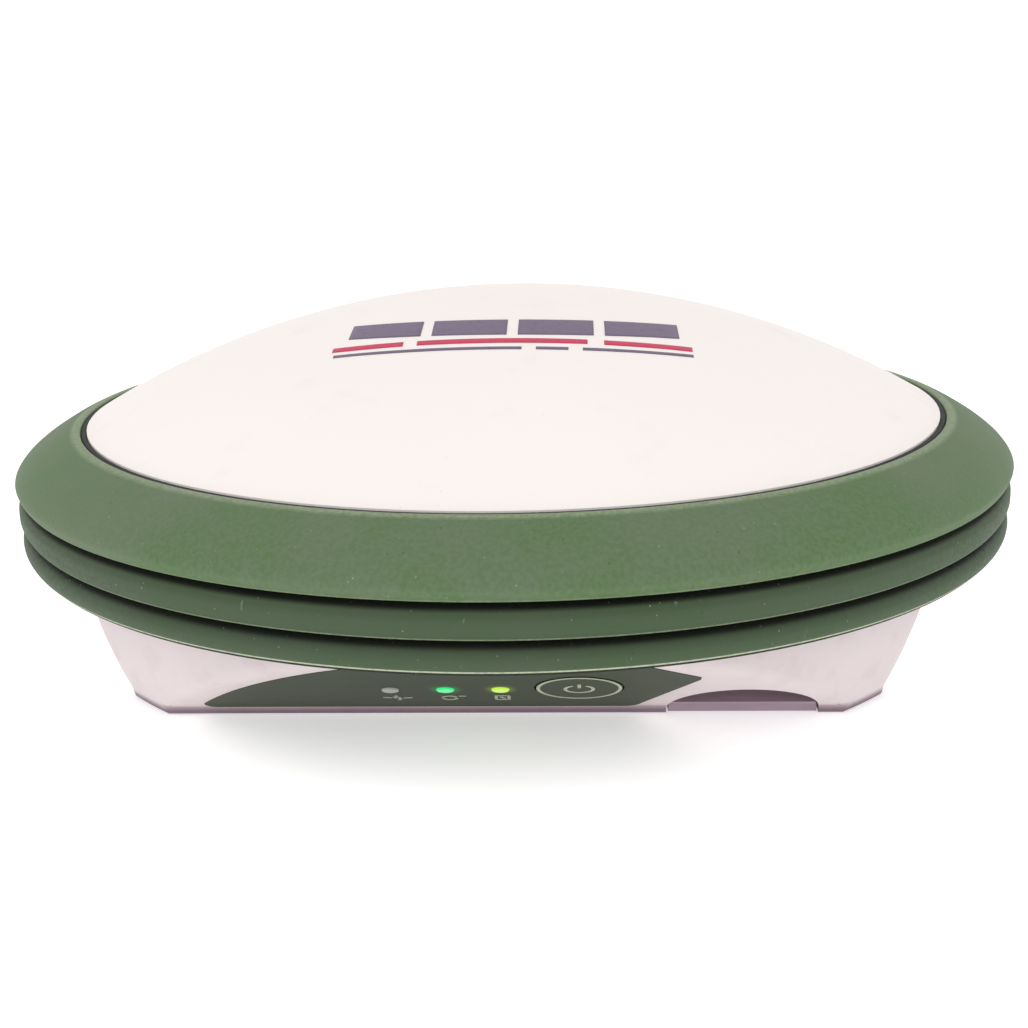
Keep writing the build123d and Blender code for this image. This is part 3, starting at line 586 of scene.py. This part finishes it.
class Tree:
    """A geometry tree in the making, with named inputs and one method that adds any node."""

    def __init__(self, name, inputs, geometry_in=False):
        self.tree = bpy.data.node_groups.new(name, "GeometryNodeTree")
        face = self.tree.interface
        face.new_socket("Geometry", in_out="OUTPUT", socket_type="NodeSocketGeometry")
        if geometry_in:
            face.new_socket("Geometry", in_out="INPUT", socket_type="NodeSocketGeometry")
        for label, (kind, value) in inputs.items():
            face.new_socket(label, in_out="INPUT", socket_type=kind).default_value = value
        self.entry = self.tree.nodes.new("NodeGroupInput")
        self.exit = self.tree.nodes.new("NodeGroupOutput")

    def given(self, label):
        return self.entry.outputs[label]

    def add(self, kind, settings=None, sockets=None, out=0):
        node = self.tree.nodes.new(kind)
        for name, value in (settings or {}).items():
            setattr(node, name, value)
        for name, value in (sockets or {}).items():
            if isinstance(value, bpy.types.NodeSocket):
                self.tree.links.new(value, node.inputs[name])
            else:
                node.inputs[name].default_value = value
        return node.outputs[out]

    def end(self, geometry, finish):
        real = self.add("GeometryNodeRealizeInstances", None, {"Geometry": geometry})
        dressed = self.add("GeometryNodeSetMaterial", None, {"Geometry": real, "Material": finish})
        self.tree.links.new(dressed, self.exit.inputs[0])
        return self.tree


FLOAT = "NodeSocketFloat"
WHOLE = "NodeSocketInt"
print("helpers ready")

# %% [markdown]
# ## The bumper, swept from one rib profile
# The real bumper is one moulding: a broad sloping band over two thin ribs, each ending in a crisp
# lip that hangs over a narrow groove. The whole ring follows one rule, a profile carried round a
# circle, so a geometry tree sweeps it. The solid model's ring has sharp lips, which catch no light.
# This one rounds each lip, and it replaces the plain ring in the picture only.

# %% Rib profile
bumper_r = cad_box[1].x / mm
under_z = 18.35
grip_r = bumper_r - 4.9


def smooth_path(points, steps):
    """Runs a smooth curve through the points, with steps pieces between neighbours."""
    ends = [2 * points[0] - points[1]] + points + [2 * points[-1] - points[-2]]
    path = []
    for a, b, c, d in zip(ends, ends[1:], ends[2:], ends[3:]):
        for step in range(steps):
            t = step / steps
            path.append(0.5 * (2 * b + (c - a) * t + (2 * a - 5 * b + 4 * c - d) * t**2
                               + (3 * b - a - 3 * c + d) * t**3))
    return path + [points[-1]]


def lip(radius, level):
    """The rounded lower lip of a rib, and the groove above the next one."""
    groove_r = bumper_r - 2.9
    return [
        (radius - 0.02, level + 1.95), (radius - 0.08, level + 1.3), (radius - 0.3, level + 0.7),
        (radius - 0.58, level + 0.26), (radius - 0.74, level + 0.06), (radius - 0.95, level),
        (radius - 1.2, level + 0.05), (radius - 1.8, level + 0.08), (groove_r + 0.2, level - 0.02),
        (groove_r, level - 0.3), (groove_r + 0.15, level - 0.6), (groove_r + 0.7, level - 0.8),
    ]


def rib_profile():
    """Radius and height of every corner of the bumper's section, from the rim down and back up."""
    band = [
        (81.0, 38.4), (81.05, 38.68), (81.25, 38.9), (81.7, 38.97), (82.4, 38.82), (84.4, 38.0),
        (86.7, 36.75), (89.2, 35.2), (91.3, 33.55), (92.5, 32.2), (bumper_r - 0.03, 31.3),
    ]
    points = band + lip(bumper_r, rib_lips[0])[1:]
    for count, level in enumerate(rib_lips[1:], 1):
        radius = bumper_r - 0.2 * count
        above = rib_lips[count - 1]
        points += [
            (radius - 0.95, above - 1.22), (radius - 0.38, above - 1.8), (radius - 0.08, above - 2.5),
        ]
        points += lip(radius, level) if count == 1 else lip(radius, level)[:6]
    outside = smooth_path([Vector(p) for p in points], 4)
    inside = [(91.4, 18.6), (91.3, under_z), (grip_r, under_z), (grip_r, 31.3), (85.1, 34.5), (81.0, 36.7)]
    return outside + [Vector(p) for p in inside]


profile = rib_profile()
print("profile corners", len(profile), "widest", round(max(p.x for p in profile), 3), "mm")

# %% Sweep the bumper
def swept_round(name, corners, radius, steps, finish):
    """Carries a closed section, given as radius and height in mm, round the receiver's axis."""
    rule = Tree("sweep_" + name, {"Radius": (FLOAT, 0.05), "Steps": (WHOLE, 96)}, geometry_in=True)
    rail = rule.add("GeometryNodeCurvePrimitiveCircle", None, {
        "Resolution": rule.given("Steps"), "Radius": rule.given("Radius")})
    section = rule.add("GeometryNodeMeshToCurve", None, {"Mesh": rule.given("Geometry")})
    ring = rule.add("GeometryNodeCurveToMesh", None, {"Curve": rail, "Profile Curve": section})
    flat = bpy.data.meshes.new(name + "_section")
    flat.from_pydata(
        [((r - radius) * mm, -z * mm, 0.0) for r, z in corners],
        [(n, (n + 1) % len(corners)) for n in range(len(corners))], [],
    )
    sizes = {"Radius": radius * mm, "Steps": steps}
    return from_nodes(name, rule.end(ring, finish), sizes, finish, "housing", flat)


bumper = swept_round("bumper_ribs", profile, bumper_r, 360, bumper_green)
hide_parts("bumper_ring")
heights = [v.co.z for v in bumper.data.vertices]
print("bumper", len(bumper.data.polygons), "faces, top", round(max(heights) / mm, 2))

# %% [markdown]
# ## A dark ring in the open line under the dome
# A dark line runs all round the dome where it meets the rubber; it is shade in the gap. A dark ring
# set low in the gap paints that shade. The same sweep carries a thin section that stays clear of both
# walls.

# %% Seam shade ring
inner, outer = seam_r + 0.06, seam_r + 1.02
# Painted shade: a black ring fills the seam so that the gap reads as a dark line all round.
seam_shade = swept_round(
    "seam_shade_ring",
    [(inner, 37), (inner, 38.6), (inner + 0.15, 38.74), (outer - 0.15, 38.7), (outer, 38.5), (outer, 37)],
    seam_r + 0.55, 240, seal_black,
)
print("seam_shade", len(seam_shade.data.polygons), "faces")

# %% [markdown]
# ## Prints, as thin shapes on their surfaces
# The ring and symbols on the panel, the bars on the dome and the lines on the label are printed ink
# a few hundredths of a millimetre thick. A picture could carry them, but thin meshes stay sharp from
# any distance and need no picture. A ribbon follows a drawn path and lies on any surface function.

# %% Ribbon helper
def ribbon(paths, place, width, lift=0.015, thick=0.02, across=1, closed=False, upright=False):
    """Points and faces of ink strips of one width along drawn paths, laid on a surface."""
    points, faces = [], []
    for path in paths:
        path = [Vector(p) for p in path]
        start = len(points)
        rows = len(path)
        for n, spot in enumerate(path):
            before = path[n - 1] if n or closed else path[n]
            after = path[(n + 1) % rows] if n < rows - 1 or closed else path[n]
            along = (after - before).normalized()
            side = Vector((0, 1)) if upright else Vector((-along.y, along.x))
            for level in (lift, lift + thick):
                for step in range(across + 1):
                    spread = (step / across - 0.5) * width
                    points.append(place(*(spot + side * spread), level))
        stride = 2 * (across + 1)
        edge = list(range(across + 1)) + list(range(stride - 1, across, -1))
        for n in range(rows if closed else rows - 1):
            here = start + n * stride
            there = start + ((n + 1) % rows) * stride
            for k in range(stride):
                a, b = edge[k], edge[(k + 1) % stride]
                faces.append((here + a, here + b, there + b, there + a))
        if not closed:
            for here in (start, start + (rows - 1) * stride):
                for k in range(across):
                    faces.append((here + k, here + k + 1, here + across + 2 + k, here + across + 1 + k))
    return points, faces


def arc(x, y, radius, first, last, steps):
    """Drawn points of an arc, in degrees anticlockwise from the right."""
    turns = [radians(first + (last - first) * n / steps) for n in range(steps + 1)]
    return [(x + radius * cos(t), y + radius * sin(t)) for t in turns]


def rounded_box(x, y, width, height, corner):
    """Drawn points of a rectangle with rounded corners, one closed loop."""
    path = []
    for sx, sy, first in ((1, 1, 0), (-1, 1, 90), (-1, -1, 180), (1, -1, 270)):
        middle = (x + sx * (width / 2 - corner), y + sy * (height / 2 - corner))
        path += arc(*middle, corner, first, first + 90, 5)
    return path


print("ribbon helper ready")

# %% [markdown]
# ## The button's ring and power sign
# The button has a pale ring round its rim and the common power sign in its middle. Both ride on the
# button, so they sink with it when it is pressed.

# %% Button prints
button_x, button_y = 12.3, 12.7
button_face = 0.2
ring_r = 6.28
ink_lift = 0.012
ring_path = [arc(button_x, button_y, ring_r, 0, 360, 96)[:-1]]
points, faces = ribbon(ring_path, on_slope, 0.56, button_face + ink_lift, closed=True)
button_ring = piece("button_ring_print", points, faces, ink_pale, "button")

sign_r = 2.15
sign = [
    arc(button_x, button_y - 0.4, sign_r, 118, 422, 40),
    [(button_x, button_y + 0.2), (button_x, button_y + 2.5)],
]
points, faces = ribbon(sign, on_slope, 0.55, button_face + ink_lift)
power_sign = piece("button_power_print", points, faces, ink_pale, "button")
print("button prints", len(button_ring.data.polygons), len(power_sign.data.polygons))

# %% [markdown]
# ## Plain signs under the lamps
# Each lamp has a small sign: a satellite, a link and a battery. They are drawn from strokes as plain
# signs of those things.

# %% Lamp signs
panel_face = 0.1
sign_y = 6.6
satellite_x = -16.2
link_x = -8.0
cell_x = 0.3
satellite = [
    [(satellite_x - 2.3, sign_y + 0.3), (satellite_x - 0.9, sign_y + 0.1)],
    [(satellite_x + 0.9, sign_y - 0.1), (satellite_x + 2.3, sign_y + 0.1)],
    [(satellite_x - 0.7, sign_y + 0.7), (satellite_x + 0.6, sign_y - 0.7)],
    [(satellite_x - 0.5, sign_y - 0.2), (satellite_x + 0.5, sign_y + 0.3)],
    [(satellite_x - 0.2, sign_y + 1.5), (satellite_x, sign_y + 0.8)],
    [(satellite_x + 0.1, sign_y - 0.9), (satellite_x + 0.2, sign_y - 1.5)],
]
link = [
    arc(link_x, sign_y - 0.1, 1.15, 20, 170, 14),
    arc(link_x, sign_y - 0.1, 1.15, 200, 350, 14),
    [(link_x + 1.5, sign_y + 1.0), (link_x + 2.6, sign_y + 1.0)],
]
battery = [
    [(cell_x - 1.0, sign_y + 1.2), (cell_x - 1.0, sign_y - 1.3)],
    [(cell_x + 1.0, sign_y - 1.3), (cell_x + 1.0, sign_y + 1.2)],
    [(cell_x - 1.15, sign_y + 1.2), (cell_x + 1.15, sign_y + 1.2)],
    [(cell_x - 1.15, sign_y - 1.3), (cell_x + 1.15, sign_y - 1.3)],
    [(cell_x - 0.4, sign_y + 0.5), (cell_x + 0.4, sign_y - 0.6)],
]
for label, strokes in (("satellite", satellite), ("link", link), ("battery", battery)):
    points, faces = ribbon(strokes, on_slope, 0.5, panel_face + ink_lift)
    made = piece(f"sign_{label}_print", points, faces, ink_pale, "housing")
    print(made.name, len(made.data.polygons), "faces")

# %% [markdown]
# ## Bars on the dome
# The dome's front carries printed matter in three rows. Here the rows are plain bars: four broad
# plum blocks, then a red row and a dark row of three bars each. The rows bend back a little towards
# their ends and follow the dome.

# %% Dome bars
row_middle_x = 1.5


def dome_row(name, middle_y, bend, width, bars, finish, across):
    """A row of bars across the dome's front, each given by its first and last x."""
    paths = []
    for first, last in bars:
        xs = [first + (last - first) * n / 12 for n in range(13)]
        paths.append([(x, middle_y + bend * (x - row_middle_x) ** 2) for x in xs])
    points, faces = ribbon(paths, on_dome, width, 0.03, 0.03, across, upright=True)
    made = piece(name, points, faces, finish, "housing")
    print(name, len(made.data.polygons), "faces")


block_w, block_gap, blocks_left = 12.9, 1.9, -27.2
starts = [blocks_left + n * (block_w + block_gap) for n in range(4)]
blocks = [(start, start + block_w) for start in starts]
dome_row("dome_block_print", -29.3, 0.0062, 7.6, blocks, ink_plum, 12)
dome_row("dome_red_row_print", -35.7, 0.0037, 1.9, [(-29.4, -17), (-14.6, 14.2), (17, 32)], ink_red, 4)
dome_row("dome_dark_row_print", -38.8, 0.0040, 1.05, [(-28.9, 3.2), (5.6, 11), (13.4, 32)], ink_plum, 3)

# %% [markdown]
# ## The thread in the pole insert
# A receiver screws onto a survey pole. The solid model has the plain bore, and the thread inside it
# is a helix. A geometry tree draws the helix as a spiral and sweeps a small ridge along it.

# %% Pole thread
thread_r = 7.94
thread_pitch = 2.31
thread = Tree("pole_thread", {
    "Radius": (FLOAT, 0.008), "Turns": (FLOAT, 5.0), "Height": (FLOAT, 0.012),
    "Ridge": (FLOAT, 0.0008), "Steps": (WHOLE, 48),
})
helix = thread.add("GeometryNodeCurveSpiral", None, {
    "Resolution": thread.given("Steps"), "Rotations": thread.given("Turns"),
    "Start Radius": thread.given("Radius"), "End Radius": thread.given("Radius"),
    "Height": thread.given("Height"),
})
ridge = thread.add("GeometryNodeCurvePrimitiveCircle", None, {
    "Resolution": 3, "Radius": thread.given("Ridge")})
wound = thread.add("GeometryNodeCurveToMesh", None, {
    "Curve": helix, "Profile Curve": ridge, "Fill Caps": True})
lifted = thread.add("GeometryNodeTransform", None, {"Geometry": wound, "Translation": (0, 0, 1.4 * mm)})
turns = 5.3
sizes = {"Radius": (thread_r - 0.35) * mm, "Turns": turns, "Height": turns * thread_pitch * mm,
         "Ridge": 0.72 * mm, "Steps": 56}
pole_thread = from_nodes("pole_thread_ridge", thread.end(lifted, brass), sizes, brass, "housing")
thread_top = max(v.co.z for v in pole_thread.data.vertices) / mm
print("thread", len(pole_thread.data.polygons), "faces, top", round(thread_top, 2))

# %% [markdown]
# ## Grip ribs on the port cap
# The rubber cap over the rear port has short ribs round its rim for cold fingers. They repeat round
# a circle, so a geometry tree puts one rounded rib on each point and turns it to face outwards.

# %% Cap ribs
rear_slope_out = Vector((0, sin(face_slope), -cos(face_slope)))
rear_slope_up = Vector((0, cos(face_slope), sin(face_slope)))
cap_x, cap_up, cap_out = -18.0, 15.0, 2.2
cap_centre = Vector((cap_x, base_half, strip_h)) + cap_up * rear_slope_up + cap_out * rear_slope_out
ribs = Tree("cap_ribs", {"Count": (WHOLE, 20), "Radius": (FLOAT, 0.006), "Rib": (FLOAT, 0.0006),
                         "Height": (FLOAT, 0.002)})
round_points = ribs.add("GeometryNodeCurvePrimitiveCircle", None, {
    "Resolution": ribs.given("Count"), "Radius": ribs.given("Radius")})
rod = ribs.add("GeometryNodeMeshCylinder", None, {
    "Vertices": 8, "Side Segments": 3, "Radius": ribs.given("Rib"), "Depth": ribs.given("Height")})
spots = ribs.add("GeometryNodeInstanceOnPoints", None, {"Points": round_points, "Instance": rod})
tilt = rear_slope_out.to_track_quat("Z", "Y").to_euler()
put = ribs.add("GeometryNodeTransform", None, {
    "Geometry": spots, "Translation": cap_centre * mm, "Rotation": tuple(tilt)})
sizes = {"Count": 22, "Radius": 6.75 * mm, "Rib": 0.42 * mm, "Height": 1.5 * mm}
cap_ribs = from_nodes("port_cap_ribs", ribs.end(put, cap_black), sizes, cap_black, "cap")
print("cap ribs", len(cap_ribs.data.polygons), "faces")

# %% [markdown]
# ## Lines on the label and on the battery
# The plate under the housing is left blank of words. It has a printed frame and four empty rules,
# and the battery's wrap has a frame of its own.

# %% Label and battery prints
low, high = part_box("label_plate")
label_x = (low.x + high.x) / 2 / mm
under = on_underside(low.z / mm)
points, faces = ribbon([rounded_box(label_x, 0, 32.0, 36.0, 1.4)], under, 0.4, 0.01, 0.02, closed=True)
piece("label_frame_print", points, faces, ink_dark, "housing")
rules = [[(label_x - 12, y), (label_x + 12, y)] for y in (10.0, 4.0, -2.0, -8.0)]
points, faces = ribbon(rules, under, 0.3, 0.01, 0.02)
piece("label_rules_print", points, faces, ink_dark, "housing")

low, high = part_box("battery_pack")
over = high.z / mm
points, faces = ribbon(
    [rounded_box((low.x + high.x) / 2 / mm, -8.0, 26.0, 34.0, 1.5)],
    lambda x, y, out: Vector((x, y, over + out)) * mm, 0.5, 0.01, 0.02, closed=True,
)
piece("battery_frame_print", points, faces, ink_pale, "door")
print("label prints on", round(label_x, 1))

# %% [markdown]
# ## Small parts on the main board
# Rows of tiny chip parts fill the board between its cans. They repeat in a grid, so a geometry tree
# places them and a fixed seed drops some and turns others.

# %% Board parts
low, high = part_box("main_board")
rows = Tree("board_parts", {"Across": (FLOAT, 0.04), "Count": (WHOLE, 8), "Seed": (WHOLE, 3),
                            "Part": ("NodeSocketVector", (0.002, 0.001, 0.0006))})
grid = rows.add("GeometryNodeMeshGrid", None, {
    "Size X": rows.given("Across"), "Size Y": rows.given("Across"),
    "Vertices X": rows.given("Count"), "Vertices Y": rows.given("Count")})
chip = rows.add("GeometryNodeMeshCube", None, {"Size": rows.given("Part")})
keep = rows.add("FunctionNodeRandomValue", {"data_type": "BOOLEAN"}, {
    "Probability": 0.6, "Seed": rows.given("Seed")}, out=3)
turned = rows.add("FunctionNodeRandomValue", {"data_type": "INT"}, {
    4: 0, 5: 1, "Seed": rows.given("Seed")}, out=2)
angle = rows.add("ShaderNodeMath", {"operation": "MULTIPLY"}, {0: turned, 1: pi / 2})
euler = rows.add("ShaderNodeCombineXYZ", None, {"Z": angle})
chips = rows.add("GeometryNodeInstanceOnPoints", None, {
    "Points": grid, "Selection": keep, "Instance": chip, "Rotation": euler})
moved = rows.add("GeometryNodeTransform", None, {
    "Geometry": chips, "Translation": (-36 * mm, -34 * mm, high.z + 0.3 * mm)})
sizes = {"Across": 14 * mm, "Count": 6, "Seed": 7, "Part": (2.0 * mm, 1.2 * mm, 0.6 * mm)}
board_rule = rows.end(moved, chip_black)
board_parts = from_nodes("board_small_parts", board_rule, sizes, chip_black, "housing")
board_parts.data.shade_flat()
print("board parts", len(board_parts.data.polygons), "faces")

# %% [markdown]
# ## Floor, light and camera
# The receiver stands on a plain pale floor under soft light from above and in front. The floor is
# large enough to reach the horizon, where it meets a sky of the same white. The camera stands a
# little above the receiver, close to it, and turned slightly, and is rolled by about a degree.

# %% Floor
floor_mesh = bpy.data.meshes.new("studio_floor")
reach = 12.0
floor_z = -0.02 * mm
floor_corners = [(x * reach, y * reach, floor_z) for x, y in ((-1, -1), (1, -1), (1, 1), (-1, 1))]
floor_mesh.from_pydata(floor_corners, [], [(0, 1, 2, 3)])
floor = bpy.data.objects.new("studio_floor", floor_mesh)
bpy.context.scene.collection.objects.link(floor)
floor_finish = Finish("studio_floor_white")
floor_cloud = floor_finish.noise(0.4, 2.0)
floor_mesh.materials.append(floor_finish.done(
    Base_Color=floor_finish.tint(floor_cloud, srgb(243, 243, 243), srgb(247, 247, 247)), Roughness=0.9,
    Specular_IOR_Level=0.1, Emission_Color=srgb(255, 255, 255), Emission_Strength=0.45,
))
print("floor", 2 * reach, "m wide")

# %% Lights
world = bpy.data.worlds.new("studio_sky")
bpy.context.scene.world = world
world.use_nodes = True
sky = world.node_tree
backdrop = sky.nodes["Background"]
backdrop.inputs["Strength"].default_value = 1.0
facing = sky.nodes.new("ShaderNodeTexCoord")
height = sky.nodes.new("ShaderNodeSeparateXYZ")
fade = sky.nodes.new("ShaderNodeMapRange")
fade.inputs["From Min"].default_value = 0.08
fade.inputs["From Max"].default_value = 0.5
fade.inputs["To Min"].default_value = 1.14
fade.inputs["To Max"].default_value = 0.86
sky.links.new(facing.outputs["Generated"], height.inputs[0])
sky.links.new(height.outputs["Z"], fade.inputs["Value"])
sky.links.new(fade.outputs["Result"], backdrop.inputs["Color"])


def softbox(name, spot, aim, size, watts, colour=(1.0, 1.0, 1.0)):
    """A square soft light at spot that faces aim."""
    light = bpy.data.lights.new(name, "AREA")
    light.size = size
    light.energy = watts
    light.color = colour
    holder = bpy.data.objects.new(name, light)
    bpy.context.scene.collection.objects.link(holder)
    turn = (Vector(aim) - Vector(spot)).to_track_quat("-Z", "Y")
    holder.matrix_world = Matrix.LocRotScale(Vector(spot), turn, None)


softbox("overhead", (-0.1, -0.15, 0.9), (0, 0, 0.03), 0.8, 0.9)
softbox("front_left", (-0.5, -0.8, 0.55), (0, 0, 0.03), 0.5, 0.35)

# %% Camera
frame_size = 1028
focal = 1500.0
elevation = radians(15.74)
turn = radians(2.34)
roll = radians(1.12)
pan = radians(-0.09)
distance = 0.2973
aim_z = 0.0160
ahead = Vector((sin(pan) * cos(elevation), cos(pan) * cos(elevation), -sin(elevation)))
right = Vector((cos(pan), -sin(pan), 0))
above = right.cross(ahead)
rolled_right = right * cos(roll) - above * sin(roll)
rolled_up = above * cos(roll) + right * sin(roll)
stand = Vector((0.00023, -cos(elevation) * distance, sin(elevation) * distance + aim_z))
around = Matrix.Rotation(turn, 3, "Z")
axes = [around @ v for v in (rolled_right, rolled_up, -ahead)]
camera_data = bpy.data.cameras.new("camera")
camera_data.sensor_width = 36.0
camera_data.lens = focal / frame_size * camera_data.sensor_width
camera_data.clip_start = 0.01
camera = bpy.data.objects.new("camera", camera_data)
bpy.context.scene.collection.objects.link(camera)
camera.matrix_world = Matrix(axes).transposed().to_4x4()
camera.location = around @ stand
bpy.context.scene.camera = camera
bpy.context.scene.view_settings.view_transform = "Standard"
print("camera at", [round(v, 4) for v in camera.location], "lens", round(camera_data.lens, 2))
